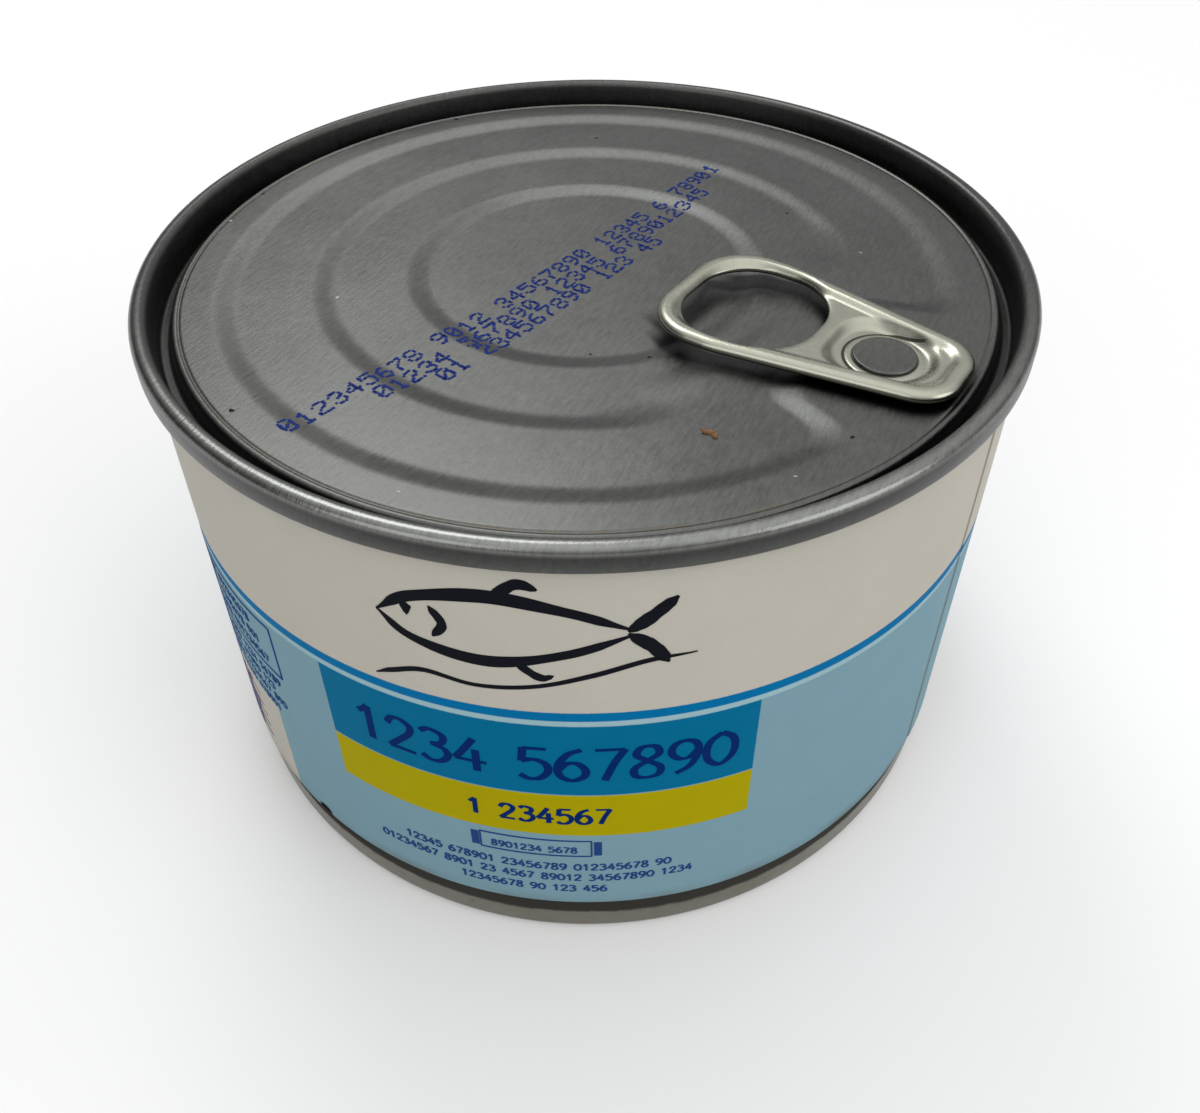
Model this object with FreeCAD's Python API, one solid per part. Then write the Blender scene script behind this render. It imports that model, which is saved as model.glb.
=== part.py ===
"""A low round food can: drawn body with its contents, seamed easy-open lid, pull tab and paper label.

Millimetres, +Z up, origin at the centre of the foot, label front towards -Y.
"""
import FreeCAD, Part
import math
import os

from FreeCAD import Vector

# ---- driving dimensions ----
can_height = 65.2
seam_radius = 51.6          # outside of the double seam, the widest place
seam_height = 2.9
seam_overhang = 1.4         # how far the seam stands out from the body wall
crown_round = 0.88
body_sheet = 0.25
body_hook = 1.8             # how far the body wall goes up into the seam

lid_sheet = 0.4
chuck_sheet = 0.2           # lid wall inside the body wall, at its top
chuck_taper = 0.4           # how much narrower that wall is at its foot
groove_depth = 4.6          # from the crown to the bottom of the groove round the panel
groove_width = 1.7
panel_depth = 2.6           # from the crown to the outer panel
panel_edge_slope = 0.5      # how far the panel's edge leans outwards on its way down
panel_round = 0.6

step_height = 0.5           # each ring of the panel lies this much lower than the last
step_width = 2.6
step_inset = 5.6            # from the panel's edge to the first step
step_spacing = 10.9
step_corner = 2.4
outer_bay_angle = 18.4      # half angle of the bay in the outer step, round the rivet
outer_bay_reach = 6.0       # from the rivet's centre to the bay's inner edge
middle_bay_angle = 36.0
middle_bay_depth = 6.6

rivet_inset = 9.45          # from the panel's edge to the rivet's centre
rivet_shank_radius = 2.2
rivet_head_radius = 3.35
rivet_head_height = 0.5
rivet_clearance = 0.05

tab_angle = -36.7           # azimuth of the tab's centre line
tab_thickness = 1.9
tab_width = 20.0
tab_nose_width = 10.8
tab_shoulder_reach = 15.5   # from the rivet's centre to where the sides start to taper
tab_end_round = 6.0
tab_shoulder_round = 9.0
tab_nose_round = 4.75
tab_finger_reach = 24.95    # from the rivet's centre to the finger end
tab_nose_reach = 8.6
tab_curl = 0.8              # rounding of the curled rim
tab_rim = 2.25
hole_length = 14.9
hole_width = 15.4
hole_finger_round = 6.1     # corners at the finger end
hole_rivet_round = 6.9      # corners towards the rivet
hole_edge_round = 0.5
well_start = -5.8           # the sunk plate round the rivet, measured from the rivet's centre
well_end = 5.3
well_width = 11.0
well_end_width = 8.2
well_floor = 0.55
slit_radius = 4.1
slit_width = 0.3
slit_leg = 2.4

foot_inset = 1.7            # how far the foot lies inside the seam's outer face
foot_height = 4.2
foot_round = 1.3
foot_land = 1.6             # width of the flat ring that the can stands on
foot_slope = 1.2            # how far the foot's inner face leans towards the middle
neck_depth = 1.0            # how far the neck above the foot steps in
neck_rise = 1.2
shoulder_rise = 1.5
underside_depth = 2.6
underside_bead_height = 0.6
underside_beads = 3
underside_bead_spacing = 12.0
underside_bead_width = 2.4
underside_round = 0.8

label_thickness = 0.2
label_bottom_gap = 0.1      # above the shoulder
label_top_gap = 0.3         # below the seam
overlap_angle = -35.5       # azimuth of the label's loose edge
overlap_width = 8.0
overlap_lift = 0.12

# ---- sizes that follow ----
wall_radius = seam_radius - seam_overhang
inner_wall_radius = wall_radius - body_sheet
seam_bottom = can_height - seam_height
hook_top = seam_bottom + body_hook
chuck_top_radius = inner_wall_radius - chuck_sheet
chuck_foot_radius = chuck_top_radius - chuck_taper
seam_width = seam_radius - chuck_top_radius
crown = min(crown_round, 0.47 * seam_width)
panel_z = can_height - panel_depth
groove_z = can_height - groove_depth
panel_radius = chuck_foot_radius - groove_width

step_radii = [panel_radius - step_inset - step_spacing * i for i in range(3)]
rivet_radius = panel_radius - rivet_inset
outer_bay_radius = rivet_radius - outer_bay_reach
middle_bay_radius = step_radii[1] - middle_bay_depth

foot_radius = seam_radius - foot_inset
neck_z = foot_height + neck_rise
wall_bottom = neck_z + shoulder_rise


def rounded_path(corners, closed=True):
    """Wire through (x, y, rounding) corners: straight runs joined by tangent arcs."""
    count = len(corners)
    ends = []
    for i, (x, y, rounding) in enumerate(corners):
        here = Vector(x, y, 0)
        inner = closed or 0 < i < count - 1
        if not inner or rounding <= 0:
            ends.append((here, None, here))
            continue
        before = Vector(*corners[i - 1][:2], 0) - here
        after = Vector(*corners[(i + 1) % count][:2], 0) - here
        before.normalize()
        after.normalize()
        half = before.getAngle(after) / 2
        start = here + before * (rounding / math.tan(half))
        stop = here + after * (rounding / math.tan(half))
        bisector = before + after
        bisector.normalize()
        middle = here + bisector * (rounding / math.sin(half) - rounding)
        ends.append((start, middle, stop))
    edges = []
    for i, (start, middle, stop) in enumerate(ends):
        if middle is not None:
            edges.append(Part.Arc(start, middle, stop).toShape())
        following = ends[(i + 1) % count][0]
        last = i == count - 1
        if (closed or not last) and stop.distanceToPoint(following) > 1e-6:
            edges.append(Part.LineSegment(stop, following).toShape())
    return Part.Wire(edges)


def revolve_profile(corners):
    """Solid of revolution about Z from (radius, z, rounding) corners."""
    face = Part.Face(rounded_path(corners))
    face.rotate(Vector(0, 0, 0), Vector(1, 0, 0), 90)
    return face.revolve(Vector(0, 0, 0), Vector(0, 0, 1), 360)


def polar(radius, angle, z=0.0):
    return Vector(radius * math.cos(angle), radius * math.sin(angle), z)


def bay_wire(radius, bay_radius, half_angle, corner, inset, z):
    """Circle with a bay cut in round +X, moved inwards by inset, with rounded corners.

    The corner centres don't move with the inset, so every inset gives the same eight edges.
    """
    outer_centre = Vector(math.sqrt((radius - corner) ** 2 - corner ** 2), corner, 0)
    inner_centre = Vector(math.sqrt((bay_radius + corner) ** 2 - corner ** 2), -corner, 0)
    outer_angle = math.atan2(outer_centre.y, outer_centre.x)
    inner_angle = math.atan2(inner_centre.y, inner_centre.x)
    outer_round = corner - inset
    inner_round = corner + inset
    outer_middle = (outer_angle - math.pi / 2) / 2
    inner_middle = (inner_angle + 1.5 * math.pi) / 2
    side = [
        polar(radius - inset, outer_angle),
        outer_centre + polar(outer_round, outer_middle),
        Vector(outer_centre.x, inset, 0),
        Vector(inner_centre.x, inset, 0),
        inner_centre + polar(inner_round, inner_middle),
        polar(bay_radius - inset, inner_angle),
    ]
    turn = math.radians(half_angle)

    def placed(point, sign):
        x = point.x * math.cos(turn) - point.y * math.sin(turn)
        y = point.x * math.sin(turn) + point.y * math.cos(turn)
        return Vector(x, sign * y, z)

    left = [placed(point, 1) for point in side]
    right = [placed(point, -1) for point in side]
    edges = [
        Part.Arc(left[0], Vector(inset - radius, 0, z), right[0]),
        Part.Arc(right[0], right[1], right[2]),
        Part.LineSegment(right[2], right[3]),
        Part.Arc(right[3], right[4], right[5]),
        Part.Arc(right[5], Vector(bay_radius - inset, 0, z), left[5]),
        Part.Arc(left[5], left[4], left[3]),
        Part.LineSegment(left[3], left[2]),
        Part.Arc(left[2], left[1], left[0]),
    ]
    return Part.Wire([edge.toShape() for edge in edges])


def bay_pocket(radius, bay_radius, half_angle, top_z):
    """Shallow pocket with sloped sides, one step deep, under a circle with a bay."""
    top = bay_wire(radius, bay_radius, half_angle, step_corner, -step_width / 2, top_z)
    bottom = bay_wire(radius, bay_radius, half_angle, step_corner, step_width / 2, top_z - step_height)
    pocket = Part.makeLoft([top, bottom], True, True)
    pocket.rotate(Vector(0, 0, 0), Vector(0, 0, 1), tab_angle)
    return pocket


def panel_pockets():
    """The three steps down towards the middle of the panel, as one solid to cut away."""
    outer = bay_pocket(step_radii[0], outer_bay_radius, outer_bay_angle, panel_z)
    middle = bay_pocket(step_radii[1], middle_bay_radius, middle_bay_angle, panel_z - step_height)
    inner = Part.makeCone(
        step_radii[2] - step_width / 2, step_radii[2] + step_width / 2, step_height,
        Vector(0, 0, panel_z - 3 * step_height))
    return outer.fuse([middle, inner]).removeSplitter()


def lid_underside():
    """Corners shared by the lid's lower face and the top of the body, from the wall inwards."""
    return [
        (inner_wall_radius, groove_z - lid_sheet, 0.6),
        (panel_radius + panel_edge_slope - lid_sheet, groove_z - lid_sheet, 0.4),
        (panel_radius - lid_sheet, panel_z - lid_sheet, 0.3),
        (0, panel_z - lid_sheet, 0),
    ]


def make_body(pockets):
    """Drawn body, solid with its contents, with a foot, a neck above it and a beaded underside."""
    land_inner = foot_radius - foot_round - foot_land
    corners = [(0, underside_depth, 0)]
    for i in range(underside_beads):
        start = underside_bead_spacing * (i + 0.5)
        lift = underside_bead_height if i % 2 == 0 else 0
        drop = underside_bead_height - lift
        corners.append((start, underside_depth + drop, underside_round))
        corners.append((start + underside_bead_width, underside_depth + lift, underside_round))
    corners += [
        (land_inner - foot_slope, underside_depth + underside_bead_height, 0.6),
        (land_inner, 0, 0.35),
        (foot_radius, 0, foot_round),
        (foot_radius, foot_height, 0.3),
        (foot_radius - neck_depth, neck_z, 0.4),
        (wall_radius, wall_bottom, 0.5),
        (wall_radius, hook_top, 0),
        (inner_wall_radius, hook_top, 0),
    ]
    body = revolve_profile(corners + lid_underside())
    return body.cut(pockets.translated(Vector(0, 0, -lid_sheet)))


def make_lid(pockets):
    """Lid sheet: seam over the body's edge, chuck wall, groove, stepped panel and rivet."""
    corners = [
        (0, panel_z, 0),
        (panel_radius, panel_z, panel_round),
        (panel_radius + panel_edge_slope, groove_z, 0.45),
        (chuck_foot_radius, groove_z, 0.45),
        (chuck_top_radius, can_height, crown),
        (seam_radius, can_height, crown),
        (seam_radius, seam_bottom, 0.35),
        (wall_radius, seam_bottom, 0),
        (wall_radius, hook_top, 0),
        (inner_wall_radius, hook_top, 0),
    ]
    sheet = revolve_profile(corners + lid_underside())
    lid = sheet.fuse(pockets.translated(Vector(0, 0, -lid_sheet))).cut(pockets)
    return lid.fuse(make_rivet()).removeSplitter()


def make_rivet():
    """Rivet drawn up out of the panel: a shank through the tab and a flat round head."""
    shank = Part.makeCylinder(
        rivet_shank_radius, lid_sheet / 2 + well_floor, Vector(rivet_radius, 0, panel_z - lid_sheet / 2))
    head = Part.makeCylinder(
        rivet_head_radius, rivet_head_height, Vector(rivet_radius, 0, panel_z + well_floor))
    rim = [edge for edge in head.Edges if abs(edge.BoundBox.ZMin - head.BoundBox.ZMax) < 1e-6]
    head = head.makeFillet(0.4 * rivet_head_height, rim)
    rivet = shank.fuse(head)
    rivet.rotate(Vector(0, 0, 0), Vector(0, 0, 1), tab_angle)
    return rivet


def mirrored(corners):
    """Closed outline from its corners with y above zero, listed from the finger end to the nose."""
    return corners + [(x, -y, rounding) for x, y, rounding in reversed(corners)]


def prism(corners, bottom, top):
    face = Part.Face(rounded_path(mirrored(corners)))
    face.translate(Vector(0, 0, bottom))
    return face.extrude(Vector(0, 0, top - bottom))


def level_edges(shape, levels):
    """Edges that lie flat at one of the levels."""
    def lies_at(edge, level):
        box = edge.BoundBox
        return abs(box.ZMin - level) < 1e-6 and abs(box.ZMax - level) < 1e-6
    return [edge for edge in shape.Edges if any(lies_at(edge, level) for level in levels)]


def edges_inside(shape, start, end, half_width):
    """Flat edges of the tab's faces that lie within a rectangle: those of the finger hole."""
    def lies_inside(box):
        return (start - 0.01 < box.XMin and box.XMax < end + 0.01
                and -half_width - 0.01 < box.YMin and box.YMax < half_width + 0.01)
    return [edge for edge in level_edges(shape, [0, tab_thickness]) if lies_inside(edge.BoundBox)]


def make_slit():
    """Slot round the rivet's tongue: a half ring on the finger side with a leg each side."""
    inner = slit_radius - slit_width / 2
    outer = slit_radius + slit_width / 2
    ring = Part.makeCylinder(outer, well_floor).cut(Part.makeCylinder(inner, well_floor))
    finger_side = Part.makeBox(outer, 2 * outer, well_floor, Vector(-outer, -outer, 0))
    legs = [Part.makeBox(slit_leg, slit_width, well_floor, Vector(0, side - slit_width / 2, 0))
            for side in (slit_radius, -slit_radius)]
    return ring.common(finger_side).fuse(legs)


def make_tab():
    """Pull tab: a curled rim round the finger hole and the nose, with a sunk plate for the rivet."""
    half = tab_width / 2
    outline = [
        (-tab_finger_reach, half, tab_end_round),
        (-tab_shoulder_reach, half, tab_shoulder_round),
        (tab_nose_reach, tab_nose_width / 2, tab_nose_round),
    ]
    tab = prism(outline, 0, tab_thickness)
    tab = tab.makeFillet(min(tab_curl, 0.45 * tab_thickness), level_edges(tab, [0, tab_thickness]))
    hole_start = -tab_finger_reach + tab_rim
    hole_end = hole_start + hole_length
    hole_corners = [
        (hole_start, hole_width / 2, hole_finger_round),
        (hole_end, hole_width / 2, hole_rivet_round),
    ]
    tab = tab.cut(prism(hole_corners, 0, tab_thickness))
    tab = tab.makeFillet(hole_edge_round, edges_inside(tab, hole_start, hole_end, hole_width / 2))
    well = prism(
        [(well_start, well_width / 2, 2.0), (well_end, well_end_width / 2, 2.4)], well_floor, tab_thickness)
    rivet_hole = Part.makeCylinder(rivet_shank_radius + rivet_clearance, well_floor)
    tab = tab.cut([well, rivet_hole, make_slit()])
    tab.translate(Vector(rivet_radius, 0, panel_z))
    tab.rotate(Vector(0, 0, 0), Vector(0, 0, 1), tab_angle)
    return tab


def ring_sector(inner, outer, bottom, top, start, sweep):
    """Part of a tube between two radii, from an azimuth through a sweep, in degrees."""
    profile = Part.makePolygon([Vector(r, 0, z) for r, z in (
        (inner, bottom), (outer, bottom), (outer, top), (inner, top), (inner, bottom))])
    face = Part.Face(profile)
    face.rotate(Vector(0, 0, 0), Vector(0, 0, 1), start)
    return face.revolve(Vector(0, 0, 0), Vector(0, 0, 1), sweep)


def make_label():
    """Paper sleeve between the shoulder and the seam, with its glued end lying over its start."""
    bottom = wall_bottom + label_bottom_gap
    top = seam_bottom - label_top_gap
    outer = wall_radius + label_thickness
    sleeve = Part.makeCylinder(outer, top - bottom, Vector(0, 0, bottom))
    sleeve = sleeve.cut(Part.makeCylinder(wall_radius, top - bottom, Vector(0, 0, bottom)))
    sweep = math.degrees(overlap_width / outer)
    overlap = ring_sector(outer, outer + overlap_lift, bottom, top, overlap_angle, sweep)
    return sleeve.fuse(overlap)


def export_part():
    os.makedirs("parts", exist_ok=True)
    pockets = panel_pockets()
    nodes = {
        "can_body": make_body(pockets),
        "lid": make_lid(pockets),
        "pull_tab": make_tab(),
        "label": make_label(),
    }
    for name, shape in nodes.items():
        if shape.ShapeType != "Solid" and len(shape.Solids) == 1:
            shape = shape.Solids[0]
        print(name, shape.isValid(), len(shape.Solids), round(shape.Volume, 1))
        shape.exportStep("parts/%s.step" % name)


export_part()
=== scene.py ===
import math

import bmesh
import bpy
import numpy as np
from mathutils import Matrix, Vector


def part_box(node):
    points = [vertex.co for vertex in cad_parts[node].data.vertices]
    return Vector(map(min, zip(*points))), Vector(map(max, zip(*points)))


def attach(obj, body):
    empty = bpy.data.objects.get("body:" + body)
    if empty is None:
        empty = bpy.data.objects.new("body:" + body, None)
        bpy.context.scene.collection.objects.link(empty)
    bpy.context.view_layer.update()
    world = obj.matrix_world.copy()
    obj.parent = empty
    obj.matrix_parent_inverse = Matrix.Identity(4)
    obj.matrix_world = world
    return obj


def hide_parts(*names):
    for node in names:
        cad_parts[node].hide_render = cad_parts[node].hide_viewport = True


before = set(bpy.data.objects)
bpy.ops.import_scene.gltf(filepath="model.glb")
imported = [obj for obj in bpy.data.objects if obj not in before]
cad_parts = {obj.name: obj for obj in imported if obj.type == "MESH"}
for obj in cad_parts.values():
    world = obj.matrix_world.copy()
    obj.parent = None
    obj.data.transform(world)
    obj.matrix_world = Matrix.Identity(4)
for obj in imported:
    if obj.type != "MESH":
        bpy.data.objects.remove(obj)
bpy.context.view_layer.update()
mm = 0.001
seamOverhang = 1.4

# the can's main sizes in millimetres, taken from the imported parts
lidHigh = np.array(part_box("lid")[1]) / mm
labelLow, labelHigh = (np.array(corner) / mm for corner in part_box("label"))
tabLow = np.array(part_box("pull_tab")[0]) / mm
canTop = lidHigh[2]
seamRadius = lidHigh[0]
wallRadius = seamRadius - seamOverhang
panelTop = tabLow[2]       # the tab stands on the outer panel
print("frame loaded: height %.1f, seam radius %.1f" % (canTop, seamRadius))


def smoothStep(value, low, high):
    # 0 below low, 1 above high, an S curve between: 3t^2 - 2t^3
    t = np.clip((value - low) / (high - low), 0, 1)
    return t * t * (3 - 2 * t)


def softMax(first, second, size):
    # the larger of two, with the corner between them rounded over size
    gap = np.clip(size - np.abs(first - second), 0, None) / size
    return np.maximum(first, second) + gap * gap * size / 4


def softMin(first, second, size):
    return -softMax(-first, -second, size)


def roundedLine(corners, closed=False, steps=8):
    # straight runs between (x, y, rounding) corners, each corner replaced by a tangent arc
    # that starts rounding / tan(half angle) before it
    count = len(corners)
    points = []
    for i, (x, y, rounding) in enumerate(corners):
        here = np.array([x, y], float)
        if rounding <= 0 or (not closed and i in (0, count - 1)):
            points.append(here)
            continue
        before = np.array(corners[i - 1][:2]) - here
        after = np.array(corners[(i + 1) % count][:2]) - here
        before /= np.linalg.norm(before)
        after /= np.linalg.norm(after)
        half = math.acos(np.clip(before @ after, -1, 1)) / 2
        bisector = (before + after) / np.linalg.norm(before + after)
        centre = here + bisector * rounding / math.sin(half)
        start = here + before * rounding / math.tan(half) - centre
        stop = here + after * rounding / math.tan(half) - centre
        turn = math.atan2(start[0] * stop[1] - start[1] * stop[0], start @ stop)
        angles = np.linspace(0, turn, steps + 1)
        sideways = np.array([-start[1], start[0]])
        points.extend(centre + np.outer(np.cos(angles), start) + np.outer(np.sin(angles), sideways))
    return np.array(points)


def subdivided(line, longest):
    # more points on the long runs of a line, none further apart than longest
    parts = [line[:1]]
    for start, stop in zip(line[:-1], line[1:]):
        count = max(1, int(np.ceil(np.linalg.norm(stop - start) / longest)))
        parts.append(start + (stop - start) * np.linspace(0, 1, count + 1)[1:, None])
    return np.concatenate(parts)


def gridFaces(rows, columns, closed=False, first=0):
    # the four corners of each cell of a grid of points that closes round its columns, and its rows if asked
    row = np.arange(rows if closed else rows - 1)[:, None]
    column = np.arange(columns)[None, :]
    nextRow, nextColumn = (row + 1) % rows, (column + 1) % columns
    corners = [row * columns + column, row * columns + nextColumn,
               nextRow * columns + nextColumn, nextRow * columns + column]
    return first + np.stack([np.broadcast_to(c, (row.size, column.size)) for c in corners], -1).reshape(-1, 4)


def addObject(name, data):
    made = bpy.data.objects.new(name, data)
    bpy.context.scene.collection.objects.link(made)
    return made


def makePiece(name, points, faces, paint, replaced=(), smooth=True):
    # a mesh from arrays in millimetres, with doubled points joined and its faces turned outwards
    mesh = bpy.data.meshes.new(name)
    mesh.from_pydata((np.asarray(points).reshape(-1, 3) * mm).tolist(), [], [list(face) for face in faces])
    shape = bmesh.new()
    shape.from_mesh(mesh)
    bmesh.ops.remove_doubles(shape, verts=shape.verts, dist=1e-7)
    bmesh.ops.dissolve_degenerate(shape, edges=shape.edges, dist=1e-8)
    bmesh.ops.recalc_face_normals(shape, faces=shape.faces)
    shape.to_mesh(mesh)
    shape.free()
    mesh.polygons.foreach_set("use_smooth", np.full(len(mesh.polygons), smooth))
    mesh.materials.append(paint)
    piece = addObject(name, mesh)
    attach(piece, "root")
    if replaced:
        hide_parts(*replaced)
    print("  %s: %d faces" % (name, len(mesh.polygons)))
    return piece


def wholeTurn(count):
    return np.linspace(0, 2 * math.pi, count, endpoint=False)


def turned(profile, angles, lift=None):
    # a profile of (radius, height) turned about Z: x = r cos a, y = r sin a, z = height (+ lift(x, y))
    radius, height = profile[:, 0][:, None], profile[:, 1][:, None]
    x, y = radius * np.cos(angles), radius * np.sin(angles)
    z = np.broadcast_to(height, x.shape).copy()
    if lift is not None:
        z += lift(x, y)
    return np.stack([x, y, z], -1)


class Field:
    # a socket with the usual operators: each one adds a Math node
    def __init__(self, paint, socket):
        self.paint = paint
        self.socket = socket

    def __add__(self, other):
        return self.paint.maths("ADD", self, other)

    def __radd__(self, other):
        return self.paint.maths("ADD", other, self)

    def __sub__(self, other):
        return self.paint.maths("SUBTRACT", self, other)

    def __rsub__(self, other):
        return self.paint.maths("SUBTRACT", other, self)

    def __mul__(self, other):
        return self.paint.maths("MULTIPLY", self, other)

    def __rmul__(self, other):
        return self.paint.maths("MULTIPLY", other, self)

    def __neg__(self):
        return self.paint.maths("MULTIPLY", self, -1)

    def ramp(self, low, high):
        # 0 below low, 1 above high; the other way round when low is the larger
        if low > high:
            return 1 - self.ramp(high, low)
        return self.paint.node("MapRange", {"interpolation_type": "SMOOTHSTEP"},
                               {"Value": self, "From Min": low, "From Max": high})

    def most(self, other):
        return self.paint.maths("MAXIMUM", self, other)

    def size(self):
        return self.paint.maths("ABSOLUTE", self)

    def swing(self, amount):
        # a noise from 0 to 1 as a change from minus to plus half the amount
        return (self - 0.5) * amount

    def between(self, low, high, soft):
        # 1 between low and high, with soft edges
        return self.ramp(low - soft, low + soft) * self.ramp(high + soft, high - soft)


class NodeTree:
    # a tree of nodes and the ways to add to it
    def __init__(self, tree):
        self.tree = tree

    def node(self, kind, settings=None, sockets=None, output=0):
        made = self.tree.nodes.new("ShaderNode" + kind)
        for key, value in (settings or {}).items():
            setattr(made, key, value)
        for key, value in (sockets or {}).items():
            self.plug(made.inputs[key], value)
        return Field(self, made.outputs[output])

    def plug(self, socket, value):
        if isinstance(value, Field):
            self.tree.links.new(value.socket, socket)
        else:
            socket.default_value = value[:3] if socket.type == "VECTOR" and isinstance(value, tuple) else value

    def maths(self, operation, *values):
        return self.node("Math", {"operation": operation}, dict(enumerate(values)))

    def split(self, vector):
        parts = self.node("SeparateXYZ", {}, {0: vector}).socket.node
        return [Field(self, parts.outputs[i]) for i in range(3)]


class Paint(NodeTree):
    # one material: its shader, and the nodes that change it over the surface
    def __init__(self, name, **fixed):
        self.material = bpy.data.materials.new(name)
        self.material.use_nodes = True
        super().__init__(self.material.node_tree)
        self.shader = self.tree.nodes["Principled BSDF"]
        for key, value in fixed.items():
            self.shader.inputs[key.replace("_", " ")].default_value = value

    def place(self):
        # the point on the piece in millimetres, as one vector and as three numbers
        point = self.node("TexCoord", {}, {}, "Object")
        point = self.node("VectorMath", {"operation": "SCALE"}, {0: point, "Scale": 1 / mm})
        return point, self.split(point)

    def noise(self, vector, scale, detail=2.0, rough=0.5):
        return self.node("TexNoise", {},
                         {"Vector": vector, "Scale": scale, "Detail": detail, "Roughness": rough})

    def stretched(self, vector, scale, turn=0.0):
        # turned about Z first, then drawn out by the scale along each axis
        return self.node("Mapping", {"vector_type": "TEXTURE"},
                         {"Vector": vector, "Rotation": (0, 0, turn), "Scale": scale})

    def mix(self, mask, first, second):
        return self.node("Mix", {"data_type": "RGBA"}, {0: mask, 6: first, 7: second}, 2)

    def shade(self, colour, amount):
        # a colour made darker or lighter by a number that changes over the surface
        return self.node("VectorMath", {"operation": "SCALE"}, {0: colour, "Scale": amount})

    def bump(self, height, strength, distance):
        return self.node("Bump", {}, {"Strength": strength, "Distance": distance * mm, "Height": height})

    def finish(self, colour, rough=None, normal=None, metal=None):
        self.plug(self.shader.inputs["Base Color"], colour)
        for key, value in (("Roughness", rough), ("Normal", normal), ("Metallic", metal)):
            if value is not None:
                self.plug(self.shader.inputs[key], value)
        return self.material


def tone(red, green, blue):
    # a screen colour, 0 to 255, as the linear colour that a shader takes
    linear = [((c / 255 + 0.055) / 1.055) ** 2.4 if c > 10 else c / 255 / 12.92 for c in (red, green, blue)]
    return (*linear, 1.0)


lidShape = {
    "seamHeight": 2.9, "crownRound": 0.88, "chuckTop": 1.85, "chuckFoot": 2.25, "grooveDepth": 4.6,
    "grooveWidth": 1.7, "edgeSlope": 0.5, "edgeRound": 0.6, "sheet": 0.4, "hook": 1.8, "bodySheet": 0.25,
    "stepHeight": 0.5, "stepWidth": 2.6, "stepInset": 5.6, "stepSpacing": 10.9, "cornerRound": 4.0,
    "scoreInset": 0.75, "scoreDepth": 0.1, "scoreWidth": 0.16, "panelEnd": 47.1, "rivetInset": 9.45,
    "outerBay": (6.0, 18.4, 1.1), "middleBay": (6.6, 36.0, 0.4),     # inset, half angle in degrees, steepness
    "panelRadii": [(0.0, 3.0), (18.0, 0.3), (23.0, 0.4), (32.5, 0.35), (44.0, 0.5), (46.2, 0.09), (47.05, 1)],
    "underRadii": (47.0, 43.6, 40.4, 32.4, 29.8, 21.6, 19.0, 0.0),
}
tabAngle = math.radians(-36.7)
chuckFootRadius = seamRadius - lidShape["chuckFoot"]
panelRadius = chuckFootRadius - lidShape["grooveWidth"]
stepRadii = [panelRadius - lidShape["stepInset"] - lidShape["stepSpacing"] * i for i in range(3)]
rivetRadius = panelRadius - lidShape["rivetInset"]
bays = [(radius - inset, math.radians(turn), steepness) for radius, (inset, turn, steepness) in (
    (rivetRadius, lidShape["outerBay"]), (stepRadii[1], lidShape["middleBay"]))] + [None]


def outsideStep(x, y, radius, bay):
    # distance outside a circle, or into its bay; the bay's sides are radial lines either side of the tab,
    # and a low steepness spreads them out
    reach = np.hypot(x, y)
    if bay is None:
        return reach - radius
    bayRadius, bayAngle, steepness = bay
    away = np.abs((np.arctan2(y, x) - tabAngle + math.pi) % (2 * math.pi) - math.pi)
    side = steepness * reach * np.sin(np.clip(away - bayAngle, -math.pi / 2, math.pi / 2))
    inner = softMin(reach - bayRadius, -side, lidShape["cornerRound"])
    return softMax(reach - radius, inner, lidShape["cornerRound"])


def panelLift(x, y):
    # height against the outer panel: a step down inside each outline, part even slope and part S curve,
    # and a fine scored groove just inside the panel's edge
    half = lidShape["stepWidth"] / 2
    lift = np.zeros_like(x)
    for radius, bay in zip(stepRadii, bays):
        inside = -outsideStep(x, y, radius, bay)
        even = np.clip((inside + half) / (2 * half), 0, 1)
        lift -= lidShape["stepHeight"] * (0.6 * even + 0.4 * smoothStep(inside, -half, half))
    score = (np.hypot(x, y) - (panelRadius - lidShape["scoreInset"])) / lidShape["scoreWidth"]
    return lift - lidShape["scoreDepth"] * np.exp(-score * score)


def uneven(breaks):
    # a row of numbers with its own spacing in each stretch: (start, spacing) pairs, then the end
    stretches = [np.linspace(a, b, max(1, round((b - a) / step)), endpoint=False)
                 for (a, step), b in zip(breaks[:-1], [entry[0] for entry in breaks[1:]])]
    return np.append(np.concatenate(stretches), breaks[-1][0])


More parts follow.
